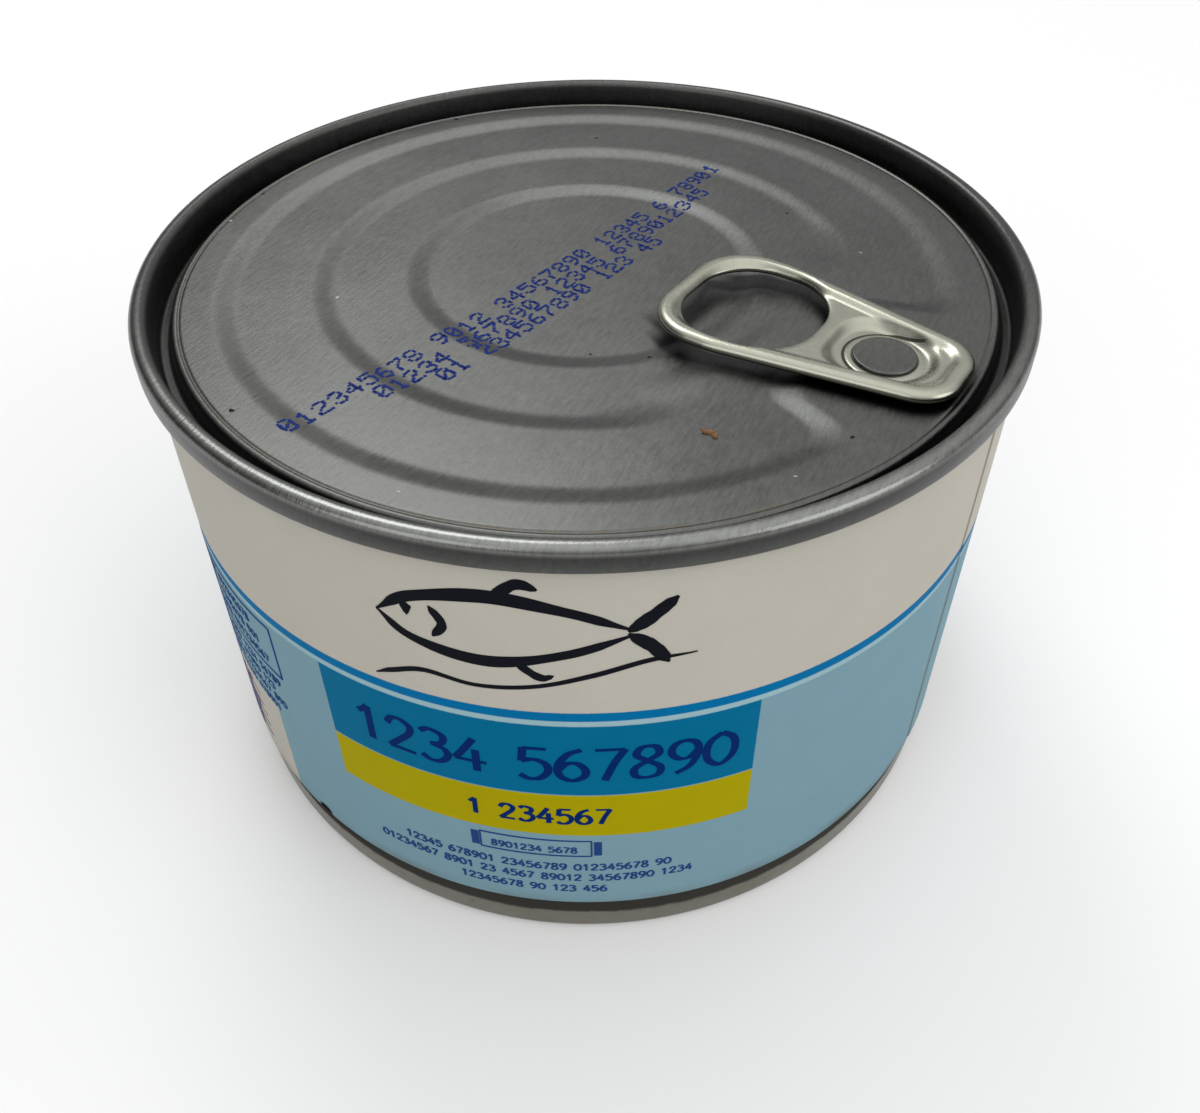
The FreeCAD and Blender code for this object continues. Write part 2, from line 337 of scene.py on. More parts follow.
def makeLid(paint):
    # the panel from its middle outwards, then the groove, the wall inside the seam and the seam itself,
    # and back underneath; only the panel and the sheet under it follow the steps
    shape = lidShape
    radii = uneven(shape["panelRadii"])
    panel = np.stack([radii, np.full_like(radii, panelTop)], 1)
    grooveZ = canTop - shape["grooveDepth"]
    seamBottom = canTop - shape["seamHeight"]
    innerWall = wallRadius - shape["bodySheet"]
    ring = subdivided(roundedLine([
        (shape["panelEnd"], panelTop, 0),
        (panelRadius, panelTop, shape["edgeRound"] * 0.85),
        (panelRadius + shape["edgeSlope"], grooveZ, 0.45),
        (chuckFootRadius, grooveZ, 0.45),
        (seamRadius - shape["chuckTop"], canTop, shape["crownRound"]),
        (seamRadius, canTop, shape["crownRound"]),
        (seamRadius, seamBottom, 0.35),
        (wallRadius + 0.05, seamBottom, 0.1),
        (wallRadius + 0.05, seamBottom + shape["hook"], 0),
        (innerWall, seamBottom + shape["hook"], 0),
        (innerWall, grooveZ - shape["sheet"], 0.3),
        (shape["panelEnd"], grooveZ - shape["sheet"], 0),
    ], steps=7), 0.8)
    under = np.array([(radius, panelTop - shape["sheet"]) for radius in shape["underRadii"]])
    profile = np.concatenate([panel, ring, under])
    onPanel = np.concatenate([np.ones(len(panel)), np.zeros(len(ring)), np.ones(len(under))])[:, None]
    turn = np.degrees(tabAngle)
    angles = np.radians(uneven([(turn - 44, 0.42), (turn + 44, 1.8), (turn + 316, 1)])[:-1])
    points = turned(profile, angles, lambda x, y: onPanel * panelLift(x, y))
    faces = gridFaces(len(profile), len(angles))
    lid = makePiece("lidShell", points, faces, paint, ["lid"])
    # store the tab's painted shadow on each point of the lid
    place = np.empty(len(lid.data.vertices) * 3)
    lid.data.vertices.foreach_get("co", place)
    x, y = place.reshape(-1, 3)[:, :2].T / mm
    lid.data.attributes.new("residue", "FLOAT", "POINT").data.foreach_set("value", tabShadowOnLid(x, y))
    return lid


lidLook = {
    "metal": tone(86, 87, 85), "stain": tone(92, 84, 70), "rough": 0.36,
    "grain": 0.36, "grainTurn": math.radians(62), "cloud": 0.3, "speckle": 0.3,
    "wallSpan": (48.0, 49.8), "wallShade": 0.6, "crestFrom": 49.9, "crestRise": 1.0, "crest": 1.25, "crestShade": 0.4,
    "faceFrom": 51.2, "faceDrop": 0.5, "face": 0.5, "faceEnd": 3.4, "tabShadowDepth": 0.7, "edgeSpan": (46.7, 47.1),
}


def lidPaint(look):
    # satin tinplate: fine rolled grain in one direction, soft clouds, painted shade in the groove, on its wall and on
    # the seam's outer face, a painted highlight on the front of the seam's crest and a painted shadow round the tab
    paint = Paint("lidTinplate", Metallic=1.0)
    point, (x, y, z) = paint.place()
    rolled = paint.stretched(point, (2.0, 0.42, 1.0), look["grainTurn"])
    grain = paint.noise(rolled, 1.1, 6, 0.62)
    cloud = paint.noise(point, 0.055, 4, 0.6)
    speckle = paint.noise(point, 1.7, 3, 0.7)
    reach = paint.maths("SQRT", x * x + y * y)
    wall = reach.between(*look["wallSpan"], 0.35)
    crest = reach.ramp(look["crestFrom"], look["crestFrom"] + 0.4) * z.ramp(canTop - look["crestRise"], canTop - 0.35)
    face = reach.ramp(look["faceFrom"], look["faceFrom"] + 0.3)
    face *= z.ramp(canTop - look["faceDrop"], canTop - look["faceDrop"] - 0.6)
    amount = 1 + grain.swing(2 * look["grain"]) + cloud.swing(2 * look["cloud"]) + speckle.swing(look["speckle"])
    # painted shade: darker in the groove and on the wall inside the seam
    amount *= 1 - wall * look["wallShade"]
    # painted highlight on the front of the seam's crest, painted shade on the rest of the crest
    amount *= 1 + crest * (y.ramp(0, -42) * look["crest"] - look["crestShade"])
    # painted shade on the seam's outer face, darkest near its top and fading downwards
    amount *= 1 - face * look["face"] * z.ramp(canTop - look["faceEnd"], canTop - 0.9)
    residue = paint.node("Attribute", {"attribute_name": "residue"}, {}, "Fac")
    # painted shadow of the tab: darker under its ring and fading round it
    amount *= 1 - residue * (look["tabShadowDepth"] + grain * 0.3)
    colour = paint.shade(look["metal"], amount)
    edgeStain = reach.between(*look["edgeSpan"], 0.15) * paint.noise(point, 0.3, 3).ramp(0.42, 0.6) * 0.5
    colour = paint.mix(edgeStain, colour, look["stain"])
    rough = look["rough"] + grain.swing(0.2) + cloud.swing(0.1) + wall * 0.06 - crest * 0.12
    relief = paint.bump(grain * 0.7 + speckle * 0.3, 0.55, 0.06)
    return paint.finish(colour, rough, relief)


tabShape = {
    "reach": 24.6, "shoulder": 15.5, "nose": 8.6, "halfWidth": 9.85, "noseHalf": 5.4,
    "endRound": 6.5, "shoulderRound": 9.0, "noseRound": 4.75, "thickness": 1.88, "clearance": 0.42, "curl": 1.0,
    "rim": 2.0, "holeLength": 15.0, "holeHalf": 7.85, "holeEndRound": 6.2, "holeRivetRound": 6.9, "holeEdge": 0.85,
    "webDrop": 0.5, "wellStart": -5.8, "wellEnd": 5.3, "wellHalf": 5.5, "wellEndHalf": 4.1, "floor": 0.55,
    "wellCorner": 2.6, "wellSideCorner": 4.6, "wellSoft": (-0.35, 0.8), "underWell": 0.05, "lift": 0.02,
    "webSoft": (1.35, 2.6), "slitRadius": 4.25, "tongueEdge": 3.9, "tongueLift": 0.12,
    "tabShadowReach": 0.55, "tabShadowLimit": 42.0, "rays": 480, "topRows": 60, "lowRows": 40,
}


def bothSides(corners):
    return corners + [(x, -y, rounding) for x, y, rounding in reversed(corners)]


def reachAlong(outline, centre, angles):
    # how far a closed outline lies from a centre in each direction
    away = subdivided(np.concatenate([outline, outline[:1]]), 0.05)[:-1] - centre
    direction = np.unwrap(np.arctan2(away[:, 1], away[:, 0]))
    if direction[-1] < direction[0]:
        direction, away = direction[::-1], away[::-1]
    distance = np.hypot(*away.T)
    direction = np.concatenate([direction - 2 * math.pi, direction, direction + 2 * math.pi])
    return np.interp(angles, direction, np.tile(distance, 3))


def distanceTo(outline, x, y):
    # distance from each point to a closed outline: the nearest point of each straight piece, then the least
    start, along = outline, np.roll(outline, -1, 0) - outline
    length = (along ** 2).sum(1)
    start, along, length = start[length > 1e-12], along[length > 1e-12], length[length > 1e-12]
    nearest = []
    for block in np.array_split(np.stack([x.ravel(), y.ravel()], 1), 12):
        away = block[:, None] - start[None]
        share = np.clip((away * along).sum(-1) / length, 0, 1)
        nearest.append(np.sqrt(((away - share[..., None] * along) ** 2).sum(-1).min(1)))
    return np.concatenate(nearest).reshape(x.shape)


def tabPlace(u, v):
    # from the tab's own plane, u outwards from the rivet and v across, to the can's x and y
    cosine, sine = math.cos(tabAngle), math.sin(tabAngle)
    return (rivetRadius + u) * cosine - v * sine, (rivetRadius + u) * sine + v * cosine


def inTabPlane(x, y):
    # the other way, from the can's x and y to the tab's u and v
    cosine, sine = math.cos(tabAngle), math.sin(tabAngle)
    return x * cosine + y * sine - rivetRadius, y * cosine - x * sine


def wellDepth(u, v):
    # 1 inside the sunk plate, 0 outside: a four sided outline with rounded corners and a soft edge
    shape = tabShape
    slope = (shape["wellHalf"] - shape["wellEndHalf"]) / (shape["wellEnd"] - shape["wellStart"])
    side = (np.abs(v) - shape["wellHalf"] + slope * (u - shape["wellStart"])) / math.hypot(1, slope)
    ends = softMax(shape["wellStart"] - u, u - shape["wellEnd"], shape["wellCorner"])
    return smoothStep(-softMax(ends, side, shape["wellSideCorner"]), *shape["wellSoft"])


def tabOutlines():
    # the outer outline and the finger hole, with their corners rounded, and the hole's middle
    shape = tabShape
    outline = roundedLine(bothSides([
        (-shape["reach"], shape["halfWidth"], shape["endRound"]),
        (-shape["shoulder"], shape["halfWidth"], shape["shoulderRound"]),
        (shape["nose"], shape["noseHalf"], shape["noseRound"])]), True, 32)
    holeStart = -shape["reach"] + shape["rim"]
    holeEnd = holeStart + shape["holeLength"]
    hole = roundedLine(bothSides([
        (holeStart, shape["holeHalf"], shape["holeEndRound"]),
        (holeEnd, shape["holeHalf"], shape["holeRivetRound"])]), True, 32)
    return outline, hole, np.array([(holeStart + holeEnd) / 2, 0.0])


def tabShadowOnLid(x, y):
    # painted shadow of the tab on the lid: full under the tab's ring, fading off either side of it
    # as a bell curve of the distance to the ring
    outline, hole, centre = tabOutlines()
    u, v = inTabPlane(x, y)
    near = np.hypot(u - centre[0], v) < tabShape["tabShadowLimit"]
    residue = np.zeros_like(x)
    u, v = u[near], v[near]
    angle, reach = np.arctan2(v, u - centre[0]), np.hypot(u - centre[0], v)
    inRing = (reach < reachAlong(outline, centre, angle)) & (reach > reachAlong(hole, centre, angle))
    away = np.minimum(distanceTo(outline, u, v), distanceTo(hole, u, v))
    residue[near] = np.where(inRing, 1, np.exp(-(away / tabShape["tabShadowReach"]) ** 2))
    return residue


def makeTab(paint):
    # rays from the finger hole's middle, each with a closed section: over the hole's lip, out to the rim and
    # back underneath, clear of the panel. The top is a quarter round near both edges, lower in the web,
    # and sinks to the floor in the well
    shape = tabShape
    outline, hole, centre = tabOutlines()
    angles = wholeTurn(shape["rays"])
    inner = reachAlong(hole, centre, angles)
    outer = reachAlong(outline, centre, angles)
    innerEdge = shape["holeEdge"] * (1 - np.cos(np.linspace(0, math.pi / 2, 8)))
    outerEdge = shape["curl"] * (1 - np.cos(np.linspace(math.pi / 2, 0, 10)))

    def ringRows(middleCount):
        first = inner + innerEdge[:, None]
        last = outer - outerEdge[:, None]
        share = np.linspace(0, 1, middleCount + 2)[1:-1, None]
        return np.concatenate([first, first[-1] + (last[0] - first[-1]) * share, last])

    def section(rows, top):
        u = centre[0] + rows * np.cos(angles)
        v = centre[1] + rows * np.sin(angles)
        rimRound = np.clip(distanceTo(outline, u, v) / shape["curl"], 0, 1)
        lipRound = np.clip(distanceTo(hole, u, v) / shape["holeEdge"], 0, 1)
        roundness = np.minimum(np.sqrt(1 - (1 - rimRound) ** 2), np.sqrt(1 - (1 - lipRound) ** 2))
        middle = (shape["thickness"] + shape["clearance"]) / 2
        if not top:
            height = middle - (middle - shape["clearance"]) * roundness
            return u, v, height + (shape["underWell"] - height) * wellDepth(u, v)
        web = shape["webDrop"] * smoothStep(distanceTo(outline, u, v), *shape["webSoft"])
        height = middle + (shape["thickness"] - middle - web) * roundness
        tongue = smoothStep(-np.hypot(u, v), -shape["slitRadius"], -shape["tongueEdge"])
        floor = shape["floor"] + shape["tongueLift"] * tongue
        return u, v, height + (floor - height) * wellDepth(u, v)

    topU, topV, topZ = section(ringRows(shape["topRows"]), True)
    lowU, lowV, lowZ = section(ringRows(shape["lowRows"])[::-1][1:-1], False)
    u, v = np.concatenate([topU, lowU]), np.concatenate([topV, lowV])
    x, y = tabPlace(u, v)
    points = np.stack([x, y, panelTop + shape["lift"] + np.concatenate([topZ, lowZ])], -1)
    faces = gridFaces(len(points), len(angles), True)
    return makePiece("tabRing", points, faces, paint, ["pull_tab"])


rivetShape = {
    "rise": 0.46, "flat": 2.3, "flatRound": 2.0, "radius": 3.35, "edgeRise": 0.5, "edgeRound": 0.24, "root": 0.1,
}


def makeRivet(paint):
    # a flat round head with a rolled edge, turned about the rivet's centre
    shape = rivetShape
    floor = panelTop + tabShape["floor"]
    profile = roundedLine([
        (0, floor + shape["rise"], 0),
        (shape["flat"], floor + shape["rise"], shape["flatRound"]),
        (shape["radius"], floor + shape["edgeRise"], shape["edgeRound"]),
        (shape["radius"], floor - shape["root"], 0),
        (0, floor - shape["root"], 0),
    ])
    angles = wholeTurn(96)
    points = turned(profile, angles)
    points[..., :2] += np.array(tabPlace(0.0, 0.0))
    return makePiece("rivetHead", points, gridFaces(len(profile), len(angles)), paint)


tabLook = {
    "metal": tone(150, 150, 138), "rough": 0.26, "cutShade": tone(44, 43, 38), "streak": 0.1, "scuff": 0.14,
    "slitWidth": 0.24, "slitEnd": 2.6, "gapSpan": (3.3, 3.48),
}


def tabPaint(look):
    # bright tinplate with light streaks along the tab, fine scuffs, and painted shade in the slit and in the gap round
    # the rivet head
    paint = Paint("tabTinplate", Metallic=1.0)
    point, (x, y, z) = paint.place()
    u, v = inTabPlane(x, y)
    streak = paint.noise(paint.stretched(point, (1.6, 0.7, 1.0), tabAngle), 0.9, 5, 0.6)
    scuff = paint.noise(point, 3.2, 3, 0.65)
    reach = paint.maths("SQRT", u * u + v * v)
    ring = (reach - tabShape["slitRadius"]).size()
    leg = (v.size() - tabShape["slitRadius"]).size()
    slit = ring.ramp(look["slitWidth"], 0.1) * u.ramp(0.1, -0.1)
    slit += leg.ramp(look["slitWidth"] - 0.02, 0.1) * u.between(0.0, look["slitEnd"], 0.1)
    gap = reach.between(*look["gapSpan"], 0.08) * 0.8
    # painted shade in the slit and in the gap round the rivet head
    cutShade = slit.most(gap)
    amount = 1 + streak.swing(2 * look["streak"]) + scuff.swing(look["scuff"])
    colour = paint.mix(cutShade * 0.92, paint.shade(look["metal"], amount), look["cutShade"])
    rough = look["rough"] + streak.swing(0.14) + scuff.swing(0.12) + cutShade * 0.4
    relief = paint.bump(streak * 0.6 + scuff * 0.4 - cutShade * 4, 0.12, 0.05)
    return paint.finish(colour, rough, relief)


bodyShape = {
    "footRadius": 49.9, "footHeight": 4.2, "footRound": 1.3, "footLand": 1.6, "footSlope": 1.2, "neckDepth": 1.0,
    "neckRise": 1.2, "shoulderRise": 1.5, "underDepth": 2.6, "bead": 0.6, "beadSpacing": 12.0, "beadWidth": 2.4,
    "wallClear": 0.02, "wallTop": 2.0, "inside": 0.2, "insideTop": 5.1,
}


def makeBody(paint):
    # beaded underside, the foot with its rounded lip, the neck above it and the wall behind the label
    shape = bodyShape
    land = shape["footRadius"] - shape["footRound"] - shape["footLand"]
    neckZ = shape["footHeight"] + shape["neckRise"]
    outer, inner = wallRadius - shape["wallClear"], wallRadius - shape["inside"]
    corners = [(0, shape["underDepth"], 0)]
    for i in range(3):
        start = shape["beadSpacing"] * (i + 0.5)
        before, after = ((shape["bead"], 0) if i % 2 else (0, shape["bead"]))
        corners.append((start, shape["underDepth"] + before, 0.8))
        corners.append((start + shape["beadWidth"], shape["underDepth"] + after, 0.8))
    corners += [
        (land - shape["footSlope"], shape["underDepth"] + shape["bead"], 0.6),
        (land, 0, 0.35),
        (shape["footRadius"], 0, shape["footRound"]),
        (shape["footRadius"], shape["footHeight"], 0.45),
        (shape["footRadius"] - shape["neckDepth"], neckZ, 0.5),
        (outer, neckZ + shape["shoulderRise"], 0.5),
        (outer, canTop - shape["wallTop"], 0),
        (inner, canTop - shape["wallTop"], 0),
        (inner, canTop - shape["insideTop"], 0),
        (0, canTop - shape["insideTop"], 0),
    ]
    profile = subdivided(roundedLine(corners), 6.0)
    angles = wholeTurn(288)
    faces = gridFaces(len(profile), len(angles))
    return makePiece("bodyShell", turned(profile, angles), faces, paint, ["can_body"])


bodyLook = {
    "metal": tone(120, 118, 108), "rough": 0.34, "stain": tone(30, 27, 22), "tarnish": tone(104, 92, 70),
    "neckShadeFoot": (3.6, 4.1), "neckShadeTop": (7.6, 7.0), "groundShadow": 0.6, "spotSoil": 0.6, "tarnishMost": 0.35,
}


def bodyPaint(look):
    # tinplate with dark brown painted shade in the neck under the label's edge,
    # and a painted contact shadow along the edge at the ground
    paint = Paint("bodyTinplate", Metallic=1.0)
    point, (x, y, z) = paint.place()
    brushed = paint.noise(paint.stretched(point, (2.5, 2.5, 0.16)), 0.9, 5, 0.6)
    cloud = paint.noise(point, 0.12, 5, 0.65)
    fine = paint.noise(point, 0.7, 4, 0.7)
    ragged = cloud.swing(1.2) + brushed.swing(0.4) + fine.swing(0.7)
    # painted shade in the neck under the label's lower edge, with a ragged edge
    neck = (z + ragged).ramp(*look["neckShadeFoot"]) * z.ramp(*look["neckShadeTop"])
    # with a painted contact shadow along the edge at the ground
    paintedShade = (neck * 0.95).most(z.ramp(1.2, 0.3) * look["groundShadow"])
    spots = fine.ramp(0.6, 0.68) * z.ramp(1.0, 3.4)
    colour = paint.shade(look["metal"], 1 + brushed.swing(0.3) + cloud.swing(0.36))
    colour = paint.mix(cloud.ramp(0.45, 0.62) * look["tarnishMost"], colour, look["tarnish"])
    # the stain colour paints the shade in the neck and at the ground, and also the dark soil spots
    colour = paint.mix(paintedShade.most(spots * look["spotSoil"]), colour, look["stain"])
    rough = look["rough"] + brushed.swing(0.2) + paintedShade * 0.25
    return paint.finish(colour, rough, paint.bump(brushed, 0.3, 0.06), 1 - paintedShade * 0.5)


labelShape = {
    "gap": 0.02, "thickness": 0.18, "wave": 0.035, "lapArc": 47.9, "lapFlat": 7.2, "lapEnd": 8.6, "lapLift": 0.1,
}
labelRadius = wallRadius + labelShape["gap"] + labelShape["thickness"]
halfWay = math.pi * labelRadius    # the front is printed again on the back
front = {"left": -29.5, "right": 16.8}


def arcAngle(arc):
    # millimetres to the right of the middle of the front, as an angle about Z
    return -math.pi / 2 + arc / labelRadius


def makeLabel(paint):
    # a thin sleeve: its radius swells and sinks a little over both directions,
    # and its loose end lies over its start as a small step in the outer face
    shape = labelShape
    edge = shape["lapArc"]
    breaks = [(edge - 2, 0.1), (edge + 1, 0.6), (edge + 7, 0.2), (edge + 9.5, 1.0), (edge - 2 + 2 * halfWay, 1)]
    arcs = uneven(breaks)[:-1]
    heights = uneven([(labelLow[2], 0.15), (labelLow[2] + 0.6, 2.0), (labelHigh[2] - 0.6, 0.15), (labelHigh[2], 1)])
    angle, height = arcAngle(arcs)[None, :], heights[:, None]
    wave = np.sin(5 * angle + 0.09 * height) + np.sin(11 * angle + 1.3) * np.sin(0.16 * height) * 0.7
    wave = wave * shape["wave"] / 2 * smoothStep(height, labelLow[2], labelLow[2] + 5)
    lap = smoothStep(arcs, edge, edge + 0.15) * (1 - smoothStep(arcs, edge + shape["lapFlat"], edge + shape["lapEnd"]))
    outer = labelRadius + wave + shape["lapLift"] * lap[None, :]
    inner = np.full((2, len(arcs)), wallRadius + shape["gap"])
    droop = 0.07 * np.sin(3 * angle + 0.6) + 0.05 * np.sin(7 * angle)
    z = np.broadcast_to(height, outer.shape) + droop * smoothStep(-height, -labelLow[2] - 3, -labelLow[2])
    radius = np.concatenate([outer, inner])
    z = np.concatenate([z, np.broadcast_to(labelHigh[2], (1, len(arcs))), z[:1]])
    points = np.stack([radius * np.cos(angle), radius * np.sin(angle), z], -1)
    faces = gridFaces(len(points), len(arcs), True)
    return makePiece("labelSleeve", points, faces, paint, ["label"])


labelLook = {
    "paper": tone(176, 172, 162), "pale": tone(114, 146, 158), "line": tone(0, 100, 150), "gap": tone(142, 172, 180),
    "panel": tone(0, 97, 135), "yellow": tone(158, 147, 0), "dust": tone(96, 90, 76), "rough": 0.5,
    "whiteBottom": 42.3, "lineBottom": 41.0, "gapBottom": 40.25, "panelBottom": 28.7, "yellowBottom": 21.1,
    "sideLeft": -66.0, "sideRight": -41.5, "sideTop": 22.3,
    "spot": (-36.0, 7.3), "gapShadow": tone(22, 20, 20),
}


def labelPaint(look):
    # coated paper with fields of ink laid one over the other, the paper's fibre, soft dust towards
    # the lower edge, a line of dirt along the overlap and one dark spot of painted shadow under the lower edge
    paint = Paint("labelPaper", Specular_IOR_Level=0.1, IOR=1.15)
    point, (x, y, z) = paint.place()
    # arc to the right in millimetres: the turn about Z times the radius, with the back folded onto the front
    turn = paint.maths("ARCTAN2", x, -y) * labelRadius
    middle = (front["left"] + front["right"]) / 2
    arc = paint.maths("WRAP", turn, middle + halfWay / 2, middle - halfWay / 2)
    fibre = paint.noise(point, 1.9, 5, 0.7)
    blot = paint.noise(point, 0.16, 3, 0.5)
    ragged = fibre.swing(0.1)
    soft = 0.07
    height, across = z + ragged, arc + ragged
    colour = paint.mix(height.ramp(look["whiteBottom"] + soft, look["whiteBottom"] - soft), look["paper"], look["pale"])
    inFront = across.between(front["left"], front["right"], soft)
    colour = paint.mix(height.between(look["lineBottom"], look["whiteBottom"], soft), colour, look["line"])
    colour = paint.mix(height.between(look["gapBottom"], look["lineBottom"], soft), colour, look["gap"])
    for low, high, ink in (("panelBottom", look["gapBottom"] - 0.05, "panel"),
                           ("yellowBottom", look["panelBottom"] - 0.15, "yellow")):
        colour = paint.mix(inFront * height.between(look[low], high, soft), colour, look[ink])
    below = height.ramp(look["sideTop"] + soft, look["sideTop"] - soft)
    side = across.between(look["sideLeft"], look["sideRight"], soft) * below
    colour = paint.mix(side, colour, look["paper"])
    seamShade = z.ramp(labelHigh[2] - 2.2, labelHigh[2])
    dust = z.ramp(labelLow[2] + 2.0, labelLow[2]) * blot.ramp(0.3, 0.7)
    lapEdge = (turn - labelShape["lapArc"]).between(-0.5, 0.12, 0.1)
    # one dark spot: painted shadow where the label's lower edge stands off the can
    spotX, spotZ = turn - look["spot"][0], z - look["spot"][1]
    spot = paint.maths("SQRT", spotX * spotX * 0.5 + spotZ * spotZ) + fibre.swing(0.5)
    dustAndShadow = (dust * 0.45).most(lapEdge * 0.6).most(spot.ramp(1.0, 0.6))
    colour = paint.mix(dustAndShadow, colour, look["dust"])
    colour = paint.mix(spot.ramp(1.0, 0.6), colour, look["gapShadow"])
    amount = 1 + fibre.swing(0.1) + blot.swing(0.08) - seamShade * 0.06
    rough = look["rough"] + fibre.swing(0.16) + dustAndShadow * 0.3
    return paint.finish(paint.shade(colour, amount), rough, paint.bump(fibre, 0.22, 0.08))


def smoothCurve(points, count):
    # a Catmull-Rom curve: cubics that leave each point along the line between its two neighbours
    points = np.array(points, float)
    padded = np.concatenate([2 * points[:1] - points[1:2], points, 2 * points[-1:] - points[-2:-1]])
    place = np.linspace(0, len(points) - 1 - 1e-9, count)
    i = place.astype(int)
    t = (place - i)[:, None]
    a, b, c, d = padded[i], padded[i + 1], padded[i + 2], padded[i + 3]
    return 0.5 * (2 * b + (c - a) * t + (2 * a - 5 * b + 4 * c - d) * t ** 2 + (3 * b - a - 3 * c + d) * t ** 3)


def brush(points, count, seed, tip=0.25):
    # (arc, height, half width) along a curve, thinner at its tips and slightly ragged
    line = smoothCurve(points, count)
    share = np.linspace(0, 1, count)
    taper = np.minimum(1, tip + np.minimum(share, 1 - share) * 6)
    line[:, 2] *= taper * (1 + 0.06 * np.sin(share * 13 + seed) + 0.03 * np.sin(share * 29 + 2 * seed))
    return line


def inkRibbon(line):
    # a flat bar along a line on the label: for each point under left, over left, over right, under right
    flow = np.gradient(line[:, :2], axis=0)
    flow /= np.linalg.norm(flow, axis=1)[:, None] + 1e-9
    across = np.stack([-flow[:, 1], flow[:, 0]], 1) * line[:, 2:3]
    left, right = line[:, :2] + across, line[:, :2] - across
    flat = np.stack([left, left, right, right], 1)
    lift = np.array([-0.03, 0.055, 0.055, -0.03])
    return flat, np.broadcast_to(lift, flat.shape[:2])


def makePrint(name, strokes, paint):
    # all strokes of one ink as one mesh, wrapped round the label: x = (R + lift) cos a, y = (R + lift) sin a
    points, faces, first = [], [], 0
    for offset in (0.0, halfWay):
        for line in strokes:
            flat, lift = inkRibbon(line)
            angle = arcAngle(flat[..., 0] + offset)
            radius = labelRadius + lift
            points.append(np.stack([radius * np.cos(angle), radius * np.sin(angle), flat[..., 1]], -1).reshape(-1, 3))
            count = len(line)
            faces += gridFaces(count, 4, first=first).tolist()
            faces.append(range(first, first + 4))
            first += 4 * count
            faces.append(range(first - 4, first))
    return makePiece(name, np.concatenate(points), faces, paint, smooth=False)


fishStrokes = [   # points (along, up, width), how many steps, and the width at the tips where it is its own
    ([(-0.5, 0.0, 0.6), (-0.36, 0.11, 1.1), (-0.1, 0.17, 1.3), (0.16, 0.12, 1.0), (0.37, 0.03, 0.7)], 56),
    ([(-0.5, 0.0, 0.6), (-0.38, -0.1, 0.9), (-0.12, -0.15, 1.2), (0.15, -0.09, 0.9), (0.37, 0.0, 0.7)], 56),
    ([(0.36, 0.02, 0.8), (0.43, 0.08, 1.2), (0.52, 0.17, 0.8)], 24),
    ([(0.36, 0.01, 0.8), (0.44, -0.06, 1.2), (0.5, -0.15, 0.8)], 24),
    ([(-0.3, 0.08, 0.6), (-0.26, 0.0, 0.8), (-0.3, -0.07, 0.6)], 20),
    ([(-0.08, 0.17, 0.9), (0.0, 0.24, 1.0), (0.07, 0.22, 0.6)], 20),
    ([(-0.02, -0.14, 0.7), (0.06, -0.21, 0.8), (0.11, -0.2, 0.4)], 20),
    ([(-0.4, 0.035, 0.9), (-0.385, 0.04, 1.3), (-0.37, 0.035, 0.9)], 8, 0.8),
]


def drawnFish(x, z, length, width, seed):
    # a simple swimming fish in a few brush lines: back, belly, forked tail, gill, fins and eye
    return [brush([(x + a * length, z + b * length, c * width) for a, b, c in points], count, seed + i, *tip)
            for i, (points, count, *tip) in enumerate(fishStrokes)]


digitStrokes = {   # pen strokes in a box one unit high
    "0": [[(.31, 1), (.09, .8), (.02, .5), (.08, .2), (.31, 0), (.54, .2), (.6, .5), (.53, .8), (.31, 1)]],
    "1": [[(.1, .77), (.22, .86), (.33, 1)], [(.33, 1), (.33, .5), (.33, 0)]],
    "2": [[(.05, .76), (.16, .96), (.36, 1), (.55, .84), (.5, .6), (.26, .3), (.03, .03)],
          [(.03, .03), (.3, .04), (.6, .03)]],
    "3": [[(.06, .88), (.26, 1), (.52, .88), (.48, .64), (.25, .55)],
          [(.25, .55), (.52, .46), (.58, .25), (.42, .04), (.2, 0), (.03, .12)]],
    "4": [[(.42, 1), (.2, .6), (.02, .3)], [(.02, .3), (.3, .3), (.64, .3)], [(.44, .66), (.44, .3), (.44, 0)]],
    "5": [[(.56, .97), (.35, .97), (.12, .97)], [(.12, .97), (.1, .75), (.08, .55)],
          [(.08, .55), (.3, .63), (.52, .52), (.58, .28), (.42, .04), (.2, 0), (.03, .1)]],
    "6": [[(.5, .98), (.25, .84), (.06, .5), (.08, .16), (.3, 0), (.53, .12), (.57, .34), (.42, .55), (.22, .54),
           (.07, .36)]],
    "7": [[(.04, .97), (.3, .97), (.6, .97)], [(.6, .97), (.4, .55), (.22, 0)]],
    "8": [[(.31, .54), (.1, .73), (.16, .94), (.31, 1), (.47, .94), (.52, .73), (.31, .54), (.07, .32), (.09, .08),
           (.31, 0), (.53, .08), (.55, .32), (.31, .54)]],
    "9": [[(.55, .64), (.4, .46), (.2, .46), (.05, .66), (.1, .9), (.3, 1), (.52, .88), (.57, .55), (.42, .18),
           (.15, 0)]],
}


def numbers(words, x, z, height, half, pitch, detail=10, first=1):
    # counting digits in groups, as pen strokes of half width half * (0.5 + 0.5 |rise| / length)
    lines, digit = [], first
    for length in words:
        for _ in range(length):
            for stroke in digitStrokes[str(digit % 10)]:
                line = smoothCurve(stroke, max(4, detail * (len(stroke) - 1) // 3))
                flow = np.gradient(line, axis=0)
                width = half * (0.5 + 0.5 * np.abs(flow[:, 1]) / (np.hypot(*flow.T) + 1e-9))
                lines.append(np.stack([x + line[:, 0] * height, z + line[:, 1] * height, width], 1))
            x, digit = x + pitch, digit + 1
        x += pitch * 0.75
    return lines


